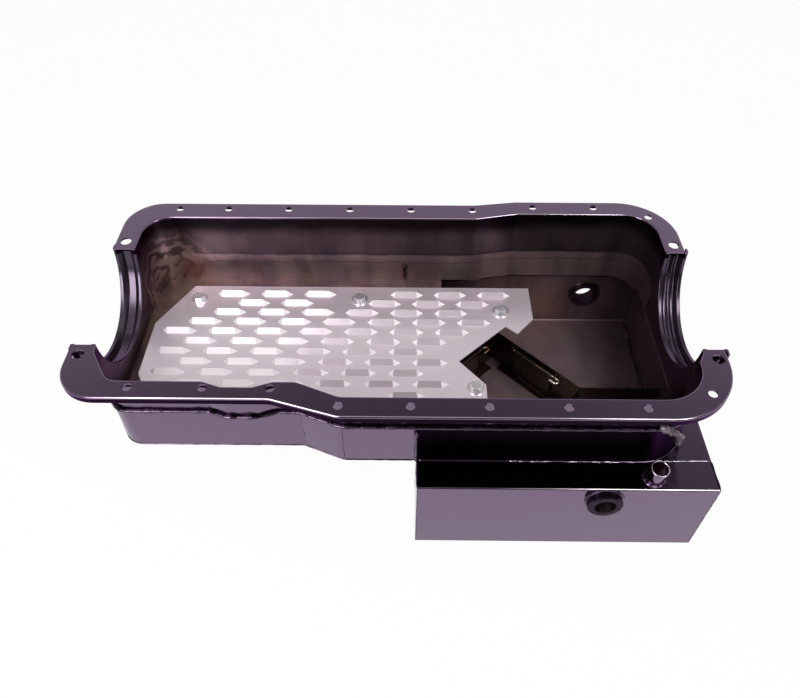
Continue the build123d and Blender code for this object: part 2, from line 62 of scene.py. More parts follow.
NOISE_ROUGHNESS = 0.55
MOST_NOISE = (0.3, 0.7)  # nearly all of a noise's values lie between these


def mm(*values):
    """Millimetres as metres."""
    return tuple(value * MM for value in values)


def node(tree, kind, **settings):
    made = tree.nodes.new(kind)
    for key, value in settings.items():
        setattr(made, key, value)
    return made


def link(tree, a, b):
    tree.links.new(a, b)


def put(tree, socket, value):
    """Sets a socket to a number or a colour, or links another socket to it."""
    if isinstance(value, (int, float)):
        socket.default_value = value
    elif isinstance(value, tuple):
        socket.default_value = (*value, 1.0)
    else:
        link(tree, value, socket)


def math_node(tree, operation, a, b=None):
    made = node(tree, "ShaderNodeMath", operation=operation)
    for socket, value in zip(made.inputs, (a, b)):
        if value is not None:
            put(tree, socket, value)
    return made.outputs[0]


def product(tree, first, *others):
    made = first
    for value in others:
        made = math_node(tree, "MULTIPLY", made, value)
    return made


def added(tree, a, b):
    return math_node(tree, "ADD", a, b)


def larger(tree, a, b):
    return math_node(tree, "MAXIMUM", a, b)


def over(tree, value, limit):
    """1 where the value is over the limit, else 0."""
    return math_node(tree, "GREATER_THAN", value, limit)


def under(tree, value, limit):
    """1 where the value is under the limit, else 0."""
    return math_node(tree, "LESS_THAN", value, limit)


def off(tree, value, middle):
    """How far the value is from the middle, either way."""
    return math_node(tree, "ABSOLUTE", math_node(tree, "SUBTRACT", value, middle))


def ramp(tree, value, span, result=(0.0, 1.0)):
    """A smooth step: the first result at the start of the span, the second at its end."""
    made = node(tree, "ShaderNodeMapRange", interpolation_type="SMOOTHSTEP")
    link(tree, value, made.inputs["Value"])
    for name, number in zip(("From Min", "From Max", "To Min", "To Max"), (*span, *result)):
        made.inputs[name].default_value = number
    return made.outputs["Result"]


def vector_node(tree, operation, a, b=None, output="Vector"):
    made = node(tree, "ShaderNodeVectorMath", operation=operation)
    for socket, value in zip(made.inputs, (a, b)):
        if isinstance(value, tuple):
            socket.default_value = value
        elif value is not None:
            link(tree, value, socket)
    return made.outputs[output]


def parts_of(tree, vector):
    made = node(tree, "ShaderNodeSeparateXYZ")
    link(tree, vector, made.inputs[0])
    return tuple(made.outputs)


def noise_of(tree, vector, scale, detail=3.0, stretch=(1, 1, 1)):
    mapping = node(tree, "ShaderNodeMapping")
    mapping.inputs["Scale"].default_value = stretch
    link(tree, vector, mapping.inputs["Vector"])
    made = node(tree, "ShaderNodeTexNoise")
    made.inputs["Scale"].default_value = scale
    made.inputs["Detail"].default_value = detail
    made.inputs["Roughness"].default_value = NOISE_ROUGHNESS
    link(tree, mapping.outputs[0], made.inputs["Vector"])
    return made.outputs["Fac"]


# a mix node has its factor at socket 0, its numbers at 2 and 3 and its colours at 6 and 7


def mixed(tree, factor, a, b):
    """Colour a, or b where the factor is 1."""
    made = node(tree, "ShaderNodeMix", data_type="RGBA")
    for index, value in ((0, factor), (6, a), (7, b)):
        put(tree, made.inputs[index], value)
    return made.outputs[2]


def mixed_value(tree, factor, a, b):
    """Number a, or b where the factor is 1."""
    made = node(tree, "ShaderNodeMix", data_type="FLOAT")
    for index, value in ((0, factor), (2, a), (3, b)):
        put(tree, made.inputs[index], value)
    return made.outputs[0]


class Surface:
    """A new material, with the place and the facing of its surface split into their parts."""

    def __init__(self, name):
        self.material = bpy.data.materials.new(name)
        self.material.use_nodes = True
        self.tree = self.material.node_tree
        self.shader = self.tree.nodes["Principled BSDF"]
        place = node(self.tree, "ShaderNodeNewGeometry")
        self.position = place.outputs["Position"]
        self.normal = place.outputs["True Normal"]
        self.x, self.y, self.z = parts_of(self.tree, self.position)
        self.facing_x, self.facing_y, self.facing_z = parts_of(self.tree, self.normal)

    def put(self, name, value):
        put(self.tree, self.shader.inputs[name], value)

    def noise(self, scale, detail=3.0, stretch=(1, 1, 1)):
        return noise_of(self.tree, self.position, scale, detail, stretch)

    def bump(self, height, strength, distance):
        """Relief with a depth in millimetres."""
        made = node(self.tree, "ShaderNodeBump")
        made.inputs["Strength"].default_value = strength
        made.inputs["Distance"].default_value = distance * MM
        link(self.tree, height, made.inputs["Height"])
        link(self.tree, made.outputs[0], self.shader.inputs["Normal"])

    def flatness(self):
        """1 where the surface is level, 0 where it is upright."""
        return math_node(self.tree, "ABSOLUTE", self.facing_z)

    def off_middle(self):
        """Distance from the middle of the pan's length, in metres."""
        return off(self.tree, self.x, MIDDLE_X * MM)

    def under_flange(self):
        return under(self.tree, self.z, -SHEET * MM)


# ---- the black coat ----

COAT_IOR = 2.5
COAT_TINT = (0.92, 0.61, 1.0)
COAT_DARK = (0.0035, 0.002, 0.0035)
COAT_ROUGH = 0.09


def coated(surface, ior=COAT_IOR, tint=COAT_TINT):
    """The strong purple reflection of the gloss coat."""
    surface.shader.inputs["IOR"].default_value = ior
    surface.shader.inputs["Specular Tint"].default_value = (*tint, 1.0)


def coat_material():
    surface = Surface("black_coat")
    tree = surface.tree
    coated(surface)
    cloud = surface.noise(scale=9.0, detail=2.0)
    peel = surface.noise(scale=420.0, detail=1.0)
    surface.put("Base Color", mixed(tree, cloud, COAT_DARK, (0.006, 0.004, 0.006)))
    surface.put("Roughness", ramp(tree, cloud, MOST_NOISE, (0.07, 0.13)))
    surface.bump(peel, strength=0.05, distance=0.2)
    return surface.material


def weld_material():
    """Welds under the coat."""
    surface = Surface("weld_coat")
    coated(surface, ior=1.9)
    surface.put("Base Color", (0.003, 0.002, 0.003))
    patchy = surface.noise(scale=90.0, detail=2.0)
    surface.put("Roughness", ramp(surface.tree, patchy, (0.35, 0.65), (0.10, 0.38)))
    surface.bump(surface.noise(scale=320.0), strength=0.25, distance=0.5)
    return surface.material


# ---- the sheet-metal shell: coated outside, bare and stained inside ----

PAN_MIDDLE = (0.0, 0.0, 0.0)
SUMP_MIDDLE = (145.0, 0.0, -131.0)
FACING_LEAST = 0.002  # how clearly, in metres, a surface faces a place to count as turned to it
WALL_REACH = HALF_MOUTH + 0.15
CHANNEL_REACH = HALF_MOUTH + 0.20
RIM_REACH = 273.7
STEP_X = SUMP_L + 0.6
TOP_FRONT_Y = -60.0

INSIDE_BLACK = (0.012, 0.008, 0.011)
STAIN_DARK = (0.088, 0.062, 0.058)
STAIN_MIDDLE = (0.150, 0.108, 0.098)
STAIN_WARM = (0.185, 0.130, 0.085)
# each part's steel scaled darker or paler: painted light and shade
PAINTED_PART_TONE = {"rail": 0.46, "lower": 1.9, "floor": 2.1, "top": 2.1, "sump": 2.1}

PANEL_SHADE = (0.30, 0.235, 0.245)
LAP_SHADE = (0.02, 0.015, 0.02)
GOLD = (0.46, 0.32, 0.29)
SCORCH = (0.07, 0.042, 0.030)
BURN = (0.13, 0.048, 0.018)
# cleaner steel and painted light on the front wall's inner side
CLEAN_LIT_STEEL = (0.46, 0.40, 0.42)
PALE_FLOOR_STEEL = (0.58, 0.43, 0.46)

BACK_WALL_Y = 105.0
PANELS = ((-185.0, 24.0), (-127.5, 20.5), (-77.5, 18.5))  # middle in X, half width
PANEL_Z, PANEL_HALF_HEIGHT = -75.0, 10.0
LAP_LINES = ((-44.0, 3.4, 0.85), (-55.2, 1.2, 0.5))  # height, half width, strength
LAP_WANDER = 7.0
TINT_PLACE = (-246.0, 92.0, -66.0)
TINT_SWIRL = 50.0
TINT_RINGS = 430.0  # radians in a metre
BURN_PLACE = (-222.0, 112.0, -72.0)
BURN_SWIRL = 0.4  # share of the tint's swirl
DRIFT_WANDER = 60.0
DRIP = 18.0

# pale metal painted on the rounded folds as a highlight
FOLD_HIGHLIGHT = {"rail": (0.60, 0.54, 0.60), "top": (0.75, 0.69, 0.75)}
# the seal channels darkened as painted shade, so that they mirror less
CHANNEL_SHADE, CHANNEL_METAL, CHANNEL_ROUGH = (0.055, 0.045, 0.058), 0.84, 0.20
# painted shade for the flange's lip and the faces by the kick-out
SHADOW_SHADE, SHADOW_ROUGH = (0.004, 0.003, 0.004), 0.4
LIP_LOW, LIP_HIGH = -6.7, -1.7


def faces(surface, place, flat):
    """1 where the surface looks towards a place, else 0; flat leaves its height out."""
    tree = surface.tree
    towards = vector_node(tree, "SUBTRACT", mm(*place), surface.position)
    towards = vector_node(tree, "MULTIPLY", towards, (1, 1, 0 if flat else 1))
    return over(tree, vector_node(tree, "DOT_PRODUCT", towards, surface.normal, "Value"), FACING_LEAST)


def distance_from(surface, place):
    """Distance in metres from a place in millimetres."""
    return vector_node(surface.tree, "DISTANCE", surface.position, mm(*place), "Value")


def inner_side(surface, kind):
    """1 on the side of the shell that faces into the pan, else 0."""
    tree = surface.tree
    if kind == "floor":
        return over(tree, surface.facing_z, 0.5)
    if kind == "top":
        return under(tree, surface.facing_z, -0.5)
    if kind == "sump":
        return faces(surface, SUMP_MIDDLE, flat=False)
    inside = faces(surface, PAN_MIDDLE, flat=True)
    if kind == "rail":
        wall = under(tree, surface.off_middle(), WALL_REACH * MM)
        upright = under(tree, surface.flatness(), 0.9)
        inside = product(tree, inside, wall, upright, surface.under_flange())
    return inside


def stained_steel(surface, kind, cloud):
    """Steel with upright streaks of oil, each part of the shell made darker or paler as painted light and
    shade.
    """
    tree = surface.tree
    dark, middle, warm = (
        tuple(PAINTED_PART_TONE[kind] * part for part in shade)
        for shade in (STAIN_DARK, STAIN_MIDDLE, STAIN_WARM)
    )
    streak = surface.noise(scale=34.0, detail=4.0, stretch=(1.0, 1.0, 0.16))
    colour = mixed(tree, ramp(tree, streak, (0.36, 0.64)), dark, middle)
    return mixed(tree, ramp(tree, cloud, (0.5, 0.72), (0.0, 0.55)), colour, warm)


def pale_panels(surface, colour):
    """Three faint pale panels low on the back wall."""
    tree = surface.tree
    panel = 0.0
    height = math_node(tree, "SUBTRACT", off(tree, surface.z, PANEL_Z * MM), PANEL_HALF_HEIGHT * MM)
    for middle, half_width in PANELS:
        width = math_node(tree, "SUBTRACT", off(tree, surface.x, middle * MM), half_width * MM)
        panel = larger(tree, panel, ramp(tree, larger(tree, width, height), mm(-3, 2), (0.42, 0.0)))
    panel = product(tree, panel, over(tree, surface.y, BACK_WALL_Y * MM))
    return mixed(tree, panel, colour, PANEL_SHADE)


def lap_lines(surface, colour):
    """The dark line of the lap's edge and the one under it."""
    tree = surface.tree
    ragged = surface.noise(scale=55.0, stretch=(1, 1, 0.2))
    height = added(tree, surface.z, product(tree, ragged, LAP_WANDER * MM))
    for level, half_width, strength in LAP_LINES:
        band = ramp(tree, off(tree, height, level * MM), mm(0, half_width), (strength, 0.0))
        colour = mixed(tree, band, colour, LAP_SHADE)
    return colour


def heat_tint(surface, colour):
    """Golden rings in the back corner at the left end, and a brown burn low on the wall beside them."""
    tree = surface.tree
    swirl = product(tree, surface.noise(scale=44.0, detail=2.5), TINT_SWIRL * MM)
    away = distance_from(surface, TINT_PLACE)
    rings = math_node(tree, "SINE", product(tree, added(tree, away, swirl), TINT_RINGS))
    fade = ramp(tree, away, mm(20, 62), (1.0, 0.0))
    gold = product(tree, fade, ramp(tree, rings, (-0.5, 0.9), (0.15, 0.85)))
    colour = mixed(tree, gold, colour, GOLD)
    scorch = product(tree, fade, ramp(tree, rings, (-1.3, 0.4), (0.75, 0.0)))
    colour = mixed(tree, scorch, colour, SCORCH)
    burn = added(tree, distance_from(surface, BURN_PLACE), product(tree, swirl, BURN_SWIRL))
    return mixed(tree, ramp(tree, burn, mm(16, 36), (0.8, 0.0)), colour, BURN)


def clean_and_lit_front(surface, colour):
    """The front wall's inner side is paler towards the left end: cleaner steel, and painted light that the
    louvres mirror.
    """
    tree = surface.tree
    front = ramp(tree, surface.y, mm(-80, -100))
    left = ramp(tree, surface.x, mm(-140, 20), (0.8, 0.0))
    return mixed(tree, product(tree, front, left), colour, CLEAN_LIT_STEEL)


def pale_floor_faces(surface, colour):
    """The deep sump's upward faces are a little paler than its walls."""
    facing_up_share = ramp(surface.tree, surface.facing_z, (0.3, 0.7), (0.0, 0.38))
    return mixed(surface.tree, facing_up_share, colour, PALE_FLOOR_STEEL)


def drifted_coat(surface, colour):
    """Black coat that drifted over the right end."""
    tree = surface.tree
    wander = product(tree, surface.noise(scale=7.0, detail=2.0), DRIFT_WANDER * MM)
    drift = ramp(tree, added(tree, surface.x, wander), mm(200, 300), (0.0, 0.8))
    return mixed(tree, drift, colour, INSIDE_BLACK)


def bare_part(surface):
    """0 on the coated upper part of the rail's wall, 1 on its bare lower part, with a dripping edge."""
    tree = surface.tree
    wander = math_node(tree, "SUBTRACT", surface.noise(scale=22.0), 0.5)
    depth = added(tree, product(tree, surface.z, -1.0), product(tree, wander, DRIP * MM))
    return ramp(tree, depth, mm(8, 26))


def painted_fold_highlight(surface, kind):
    """1 on the rounded folds, where pale metal is painted in as a highlight."""
    tree = surface.tree
    flatness = surface.flatness()
    fold = product(tree, ramp(tree, flatness, (0.985, 0.96)), ramp(tree, flatness, (0.70, 0.80)))
    if kind == "top":
        return product(tree, fold, ramp(tree, surface.x, mm(80, 150)))
    on_top = over(tree, surface.z, -SHEET * MM)
    ends = ramp(tree, surface.off_middle(), mm(205, 250), (1.0, 0.15))
    forward = under(tree, surface.facing_y, -0.1)
    return product(tree, fold, on_top, ends, forward)


def shadow(surface, kind):
    """1 where shade is painted: the coat is made deep black on the flange's lip and the faces by the
    kick-out.
    """
    tree = surface.tree
    if kind == "rail":
        lip = product(tree, over(tree, surface.z, LIP_LOW * MM), under(tree, surface.z, LIP_HIGH * MM))
        steep = under(tree, surface.flatness(), 0.60)
        return product(tree, lip, steep, under(tree, surface.off_middle(), RIM_REACH * MM))
    beside_step = over(tree, surface.x, STEP_X * MM)
    if kind == "lower":
        return product(tree, ramp(tree, surface.facing_y, (-0.02, -0.36)), beside_step)
    front = under(tree, surface.y, TOP_FRONT_Y * MM)
    fade = ramp(tree, surface.x, mm(215, 245), (1.0, 0.0))
    level = over(tree, surface.flatness(), 0.98)
    return product(tree, front, beside_step, fade, level)


def shell_material(name, kind):
    """Gloss black outside and bare, oil-stained steel inside, told apart by where the surface faces."""
    surface = Surface(name)
    tree = surface.tree
    coated(surface)
    inside = inner_side(surface, kind)
    cloud = surface.noise(scale=11.0)
    colour = stained_steel(surface, kind, cloud)
    if kind in ("rail", "lower"):
        for mark in (pale_panels, lap_lines, heat_tint, clean_and_lit_front):
            colour = mark(surface, colour)
    if kind == "sump":
        colour = pale_floor_faces(surface, colour)
    colour = drifted_coat(surface, colour)
    steel = 0.75
    if kind == "rail":
        bare = bare_part(surface)
        colour = mixed(tree, bare, INSIDE_BLACK, colour)
        steel = mixed_value(tree, bare, 1.0, 0.85)
    base = mixed(tree, inside, COAT_DARK, colour)
    metal = product(tree, inside, steel)
    # painted highlight: the rounded folds become pale metal
    if kind in FOLD_HIGHLIGHT:
        fold = painted_fold_highlight(surface, kind)
        base = mixed(tree, fold, base, FOLD_HIGHLIGHT[kind])
        metal = larger(tree, metal, fold)
    coat_rough = COAT_ROUGH
    # painted shade: the seal channels turn dark metal, dimming what they mirror
    if kind == "rail":
        channel = product(tree, over(tree, surface.off_middle(), CHANNEL_REACH * MM), surface.under_flange())
        base = mixed(tree, channel, base, CHANNEL_SHADE)
        metal = mixed_value(tree, channel, metal, CHANNEL_METAL)
        coat_rough = mixed_value(tree, channel, coat_rough, CHANNEL_ROUGH)
    # painted shade: dark metal on the lip, the wall beside the kick-out and the kick-out's top
    if kind in ("rail", "lower", "top"):
        outside = math_node(tree, "SUBTRACT", 1.0, inside)
        shaded = product(tree, shadow(surface, kind), outside)
        base = mixed(tree, shaded, base, SHADOW_SHADE)
        metal = larger(tree, metal, shaded)
        coat_rough = mixed_value(tree, shaded, coat_rough, SHADOW_ROUGH)
    surface.put("Base Color", base)
    surface.put("Metallic", metal)
    inner_rough = ramp(tree, cloud, MOST_NOISE, (0.38, 0.52))
    surface.put("Roughness", mixed_value(tree, inside, coat_rough, inner_rough))
    grain = surface.noise(scale=900.0, detail=2.0, stretch=(0.08, 0.08, 1.0))
    surface.bump(grain, strength=0.08, distance=0.2)
    return surface.material


# ---- bungs, tray and other metals ----

THREAD_PITCH = 1.6
THREAD_EDGE = 0.9


def bung_material(name, centre, bore, metallic):
    """Gloss black outside, darkened by the given metallic share as painted shade, and cut threads in the
    bore, whose radius is given, painted near-black as painted shade.
    """
    surface = Surface(name)
    tree = surface.tree
    # painted shade: a dimmer tint and the given metallic share darken the coat
    coated(surface, tint=(0.46, 0.31, 0.50))
    away = vector_node(tree, "SUBTRACT", surface.position, mm(*centre))
    away = vector_node(tree, "MULTIPLY", away, (1, 0, 1))
    radius = vector_node(tree, "LENGTH", away, output="Value")
    within = under(tree, radius, (bore + THREAD_EDGE) * MM)
    threads = math_node(tree, "SINE", product(tree, surface.y, 2 * math.pi / (THREAD_PITCH * MM)))
    ripple = surface.noise(scale=160.0)
    # the bore painted near-black: painted shade
    surface.put("Base Color", mixed(tree, within, (0.012, 0.008, 0.012), (0.028, 0.021, 0.024)))
    surface.put("Metallic", mixed_value(tree, within, metallic, 1.0))
    surface.put("Roughness", mixed_value(tree, within, 0.14, 0.5))
    surface.bump(mixed_value(tree, within, ripple, threads), strength=0.35, distance=0.4)
    return surface.material


def metal_material(name, shades, roughness, metallic=1.0, scale=300.0, strength=0.1, stain=None):
    """Clouded metal between two shades, with a fine grain and perhaps stained spots."""
    surface = Surface(name)
    tree = surface.tree
    grain = surface.noise(scale, detail=2.0)
    colour = mixed(tree, ramp(tree, surface.noise(scale=14.0), MOST_NOISE), *shades)
    if stain:
        spots = ramp(tree, surface.noise(scale=45.0), (0.52, 0.68), (0.0, 0.8))
        colour = mixed(tree, spots, colour, stain)
    surface.put("Base Color", colour)
    surface.put("Metallic", metallic)
    surface.put("Roughness", ramp(tree, grain, MOST_NOISE, roughness))
    surface.bump(grain, strength, distance=0.2)
    return surface.material


def tray_material():
    """Bright plate with painted highlights, paler on the left louvres' pressed faces and the other louvres'
    sheared ends, and painted shadow on the left louvres' ends.
    """
    surface = Surface("tray_steel")
    tree = surface.tree
    grain = surface.noise(scale=1400.0, detail=2.0, stretch=(0.05, 1, 1))
    left = ramp(tree, surface.x, mm(-125, -85), (0.85, 0.0))
    ends = over(tree, math_node(tree, "ABSOLUTE", surface.facing_x), 0.25)
    right_ends = product(tree, ends, math_node(tree, "SUBTRACT", 1.0, left))
    left_ends = product(tree, ends, left)
    faces_front = under(tree, surface.facing_y, -0.5)
    above = over(tree, surface.facing_z, 0.05)
    # painted highlight: pale on the left louvres' faces and the other louvres' ends
    pale = product(tree, larger(tree, right_ends, product(tree, faces_front, left)), above)
    clouds = ramp(tree, surface.noise(scale=14.0), MOST_NOISE)
    colour = mixed(tree, clouds, (0.96, 0.835, 0.91), (0.99, 0.865, 0.94))
    # painted shadow: the left louvres' ends darker
    colour = mixed(tree, product(tree, left_ends, above), colour, (0.42, 0.35, 0.38))
    surface.put("Base Color", mixed(tree, pale, colour, (0.97, 0.92, 0.95)))
    surface.put("Metallic", mixed_value(tree, pale, 0.68, 0.05))
    plate_rough = ramp(tree, grain, MOST_NOISE, (0.28, 0.33))
    surface.put("Roughness", mixed_value(tree, pale, plate_rough, 0.4))
    surface.bump(grain, strength=0.02, distance=0.2)
    return surface.material


COAT = coat_material()
WELD = weld_material()
ZINC = metal_material("zinc", ((0.74, 0.71, 0.75), (0.92, 0.89, 0.93)), (0.16, 0.30), metallic=0.8)
BAFFLE = metal_material(
    "baffle_steel", ((0.05, 0.036, 0.030), (0.12, 0.088, 0.072)), (0.25, 0.45), stain=(0.16, 0.10, 0.05)
)
ROD = metal_material(
    "rod_steel", ((0.72, 0.58, 0.44), (0.92, 0.84, 0.74)), (0.16, 0.28), stain=(0.80, 0.48, 0.16)
)
COPPER = metal_material("copper", ((0.62, 0.30, 0.18), (0.80, 0.46, 0.30)), (0.25, 0.4))
BURNT = metal_material(
    "burnt_weld", ((0.035, 0.026, 0.028), (0.12, 0.09, 0.08)), (0.3, 0.5), stain=(0.3, 0.2, 0.12)
)
# bright metal for thin beads that stand in for highlight lines: a painted highlight
SEAM_HIGHLIGHT = metal_material("seam_highlight", ((0.30, 0.26, 0.31), (0.72, 0.66, 0.73)), (0.10, 0.30))
PATCH = metal_material(
    "patched_weld", ((0.11, 0.088, 0.108), (0.36, 0.31, 0.36)), (0.25, 0.5),
    metallic=0.4, scale=240.0, strength=0.6,
)
LOWER_SHELL = shell_material("lower_shell", "lower")
SUMP_SHELL = shell_material("sump_shell", "sump")

finishes = {
    "pan_rail": shell_material("rail_shell", "rail"),
    "lower_wall_left": LOWER_SHELL,
    "lower_wall_right": LOWER_SHELL,
    "shallow_floor": shell_material("floor_shell", "floor"),
    "sump_top": shell_material("top_shell", "top"),
    "sump_wrap": SUMP_SHELL,
    "sump_end_left": SUMP_SHELL,
    "sump_end_right": SUMP_SHELL,
    "windage_tray": tray_material(),
    "tray_standoffs": ZINC,
    "tray_brackets": BURNT,
    "tray_washers": ZINC,
    "tray_screws": ZINC,
    "side_baffle": BAFFLE,
    "front_bung": bung_material("front_bung_coat", FRONT_BUNG, bore=8.6, metallic=0.72),
    "back_bung": bung_material("back_bung_coat", BACK_BUNG, bore=12.0, metallic=0.3),
    "dipstick_tube": COAT,
    "drain_bung": COAT,
    "drain_washer": COPPER,
    "drain_plug": ZINC,
}
for index in range(1, 5):
    finishes[f"baffle_wall_{index}"] = BAFFLE
    finishes[f"trap_door_{index}"] = BAFFLE
    finishes[f"hinge_rod_{index}"] = ROD
for name, finish in finishes.items():
    slots = NODES[name].data.materials
    slots.clear()
    slots.append(finish)


# ---- paths ----

ARC_STEP = 2.0
WALL_STEP = 1.5
STRAIGHT_STEP = 1.2
PATCH_STEP = 1.3


def rounded(corners):
    """A closed line through corners (x, y, radius), with arcs of those radii."""
    line = []
    count = len(corners)
    for i in range(count):
        x, y, radius = corners[i]
        here = Vector((x, y))
        before = (Vector(corners[i - 1][:2]) - here).normalized()
        after = (Vector(corners[(i + 1) % count][:2]) - here).normalized()
        half = before.angle(after) / 2
        reach = radius / math.tan(half)
        start, end = here + before * reach, here + after * reach
        centre = here + (before + after).normalized() * (radius / math.sin(half))
        a, b = start - centre, end - centre
        turn = a.angle_signed(b)
        steps = max(2, int(abs(turn) * radius / ARC_STEP) + 1)
        for k in range(steps + 1):
            t = -turn * k / steps
            across = a.x * math.cos(t) - a.y * math.sin(t)
            along = a.x * math.sin(t) + a.y * math.cos(t)
            line.append(centre + Vector((across, along)))
    return line


def even(points, step, closed=False):
    """Points spaced evenly along a line."""
    points = [Vector(p) for p in points]
    if closed:
        points.append(points[0].copy())
    out, carry = [points[0].copy()], 0.0
    for a, b in zip(points, points[1:]):
        length = (b - a).length
        if length < 1e-9:  # a point that stands twice
            continue
        along = step - carry
        while along < length:
            out.append(a.lerp(b, along / length))
            along += step
        carry = length - (along - step)
    if not closed:
        out.append(points[-1].copy())
    return out


def straight(a, b):
    return even([a, b], STRAIGHT_STEP)


def beside(line, amount):
    """The line moved sideways, outward for a line that runs clockwise."""
    out = []
    for i, here in enumerate(line):
        way = (line[(i + 1) % len(line)] - line[i - 1]).normalized()
        out.append(here + Vector((-way.y, way.x)) * amount)
    return out


def ring_line(centre, radius, axis, count):
    """A circle about the axis x, y or z."""
    out = []
    for k in range(count):
        angle = 2 * math.pi * k / count
        a, b = radius * math.cos(angle), radius * math.sin(angle)
        offset = {"x": (0, a, b), "y": (a, 0, b), "z": (a, b, 0)}[axis]
        out.append(Vector(centre) + Vector(offset))
    return out


def tube_rim_line(count):
    """The rim of the dipstick tube, which leans towards the front."""
    cosine, sine = math.cos(TUBE_LEAN), math.sin(TUBE_LEAN)
    out = []
    for k in range(count):
        angle = 2 * math.pi * k / count
        x, y = TUBE_RADIUS * math.cos(angle), TUBE_RADIUS * math.sin(angle)
        leaning = (x, y * cosine - TUBE_HEIGHT * sine, y * sine + TUBE_HEIGHT * cosine)
        out.append(Vector(TUBE_FOOT) + Vector(leaning))
    return out


# corners of the walls' inner side, seen from above and clockwise from the left end: x, y, radius
CORNERS = [
    (MOUTH_LEFT, FRONT_LEFT + 32.0, 14.0),
    (MOUTH_LEFT, BACK_LEFT, 27.0),
    (76.0, BACK_LEFT, 18.0),
    (118.0, BACK_RIGHT, 18.0),
    (MOUTH_RIGHT, BACK_RIGHT, 30.0),
    (MOUTH_RIGHT, -66.0, 7.0),
    (MOUTH_RIGHT - 5.5, -75.5, 7.0),
    (MOUTH_RIGHT - 5.5, FRONT_RIGHT, 38.0),
    (JOG_RIGHT, FRONT_RIGHT, 18.0),
    (JOG_LEFT, FRONT_LEFT, 7.0),
]
RELIEF = [
    (-100.0, FRONT_LEFT, 7.0),
    (-116.0, FRONT_LEFT - RELIEF_DEPTH, 7.0),
    (-141.0, FRONT_LEFT - RELIEF_DEPTH, 7.0),
    (-157.0, FRONT_LEFT, 7.0),
]
LAST_CORNER = [(MOUTH_LEFT + 20.0, FRONT_LEFT, 14.0)]
MOUTH = even(rounded(CORNERS + LAST_CORNER), WALL_STEP, closed=True)
LAP_PATH = even(rounded(CORNERS + RELIEF + LAST_CORNER), WALL_STEP, closed=True)


# ---- weld beads ----

BEAD_SIDES = 8
POOL_LOW, POOL_RISE = 0.86, 0.14
LUMP_SCALE = 0.11
WOBBLE_SHARE, WOBBLE_ALONG, WOBBLE_AROUND, WOBBLE_LAYER = 0.5, 0.5, 1.7, 3.1
END_TAPER = 0.35
# a bright metal bead along this stretch is a painted highlight
BRIGHT_FROM, BRIGHT_TO = 96.0, 214.0  # the stretch of the kick-out's front seam that shines


def bead(name, line, radius, material, closed=False, ripple=2.6, rough=0.25, seed=0):
    """A laid weld: a round run with the ripples of its pools, a little uneven along its length."""
    line = [Vector(p) for p in line]
    mesh = bmesh.new()
    rings = []
    run = 0.0
    count = len(line)
    for i, here in enumerate(line):
        back = line[i - 1] if (closed or i) else here
        ahead = line[(i + 1) % count] if (closed or i < count - 1) else here
        way = (ahead - back).normalized()
        side = way.cross(Vector((0, 0, 1)))
        if side.length < 0.1:  # the line runs upright
            side = way.cross(Vector((1, 0, 0)))
        side.normalize()
        up = side.cross(way)
        pool = POOL_LOW + POOL_RISE * abs(math.sin(math.pi * run / ripple))
        spot = Vector((here.x * LUMP_SCALE + seed, here.y * LUMP_SCALE, here.z * LUMP_SCALE))
        lump = 1.0 + rough * noise.noise(spot)
        taper = 1.0
        if not closed:
            taper = min(1.0, END_TAPER + END_TAPER * min(i, count - 1 - i))
        grown = radius * pool * lump * taper
        ring = []
        for k in range(BEAD_SIDES):
            angle = 2 * math.pi * k / BEAD_SIDES
            spot = Vector((run * WOBBLE_ALONG + seed, k * WOBBLE_AROUND, WOBBLE_LAYER))
            wobble = 1.0 + WOBBLE_SHARE * rough * noise.noise(spot)
            corner = here + (side * math.cos(angle) + up * math.sin(angle)) * grown * wobble
            ring.append(mesh.verts.new(corner * MM))
        rings.append(ring)
        run += (ahead - here).length
    pairs = list(zip(rings, rings[1:]))
    if closed:
        pairs.append((rings[-1], rings[0]))
    for a, b in pairs:
        for k in range(BEAD_SIDES):
            after = (k + 1) % BEAD_SIDES
            mesh.faces.new((a[k], a[after], b[after], b[k]))
    if not closed:
        mesh.faces.new(list(reversed(rings[0])))
        mesh.faces.new(rings[-1])
    bmesh.ops.recalc_face_normals(mesh, faces=mesh.faces)
    return finished(name, mesh, material)


def finished(name, mesh, material, body="pan"):
    data = bpy.data.meshes.new(name)
    mesh.to_mesh(data)
    mesh.free()
    for face in data.polygons:
        face.use_smooth = True
    made = bpy.data.objects.new(name, data)
    bpy.context.scene.collection.objects.link(made)
    data.materials.append(material)
    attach(made, body)
    return made


def under_channel(point):
    """The lap's weld ducks under the seal channel at each end."""
    if abs(point.y) < CHANNEL_OUT and abs(point.x) > CHANNEL_X:
        return min(LAP_Z, -math.sqrt(max(0.0, CHANNEL_OUT**2 - point.y**2)))
    return LAP_Z


# the lap, the shallow floor's edge and the kick-out's seam
lap_run = [(p.x, p.y, under_channel(p) + 0.2) for p in beside(LAP_PATH, LAP)]
bead("weld_lap", lap_run, 1.8, WELD, closed=True, rough=0.45, seed=3)
floor_line = beside(MOUTH, 3.0)
start = next(i for i, p in enumerate(floor_line) if p.x > SUMP_L and p.y > 0)
left_run, top_run = [], []
for p in floor_line[start:] + floor_line[:start]:
    (top_run if p.x > SUMP_L else left_run).append(p)
bead("weld_floor_edge", [(p.x, p.y, FLOOR_Z - 0.9) for p in left_run], 0.9, WELD, rough=0.3, seed=5)
kick_run = beside(top_run, 1.2)
bead("weld_kick_seam", [(p.x, p.y, FLOOR_Z + 0.2) for p in kick_run], 1.1, COAT, rough=0.15, seed=6)
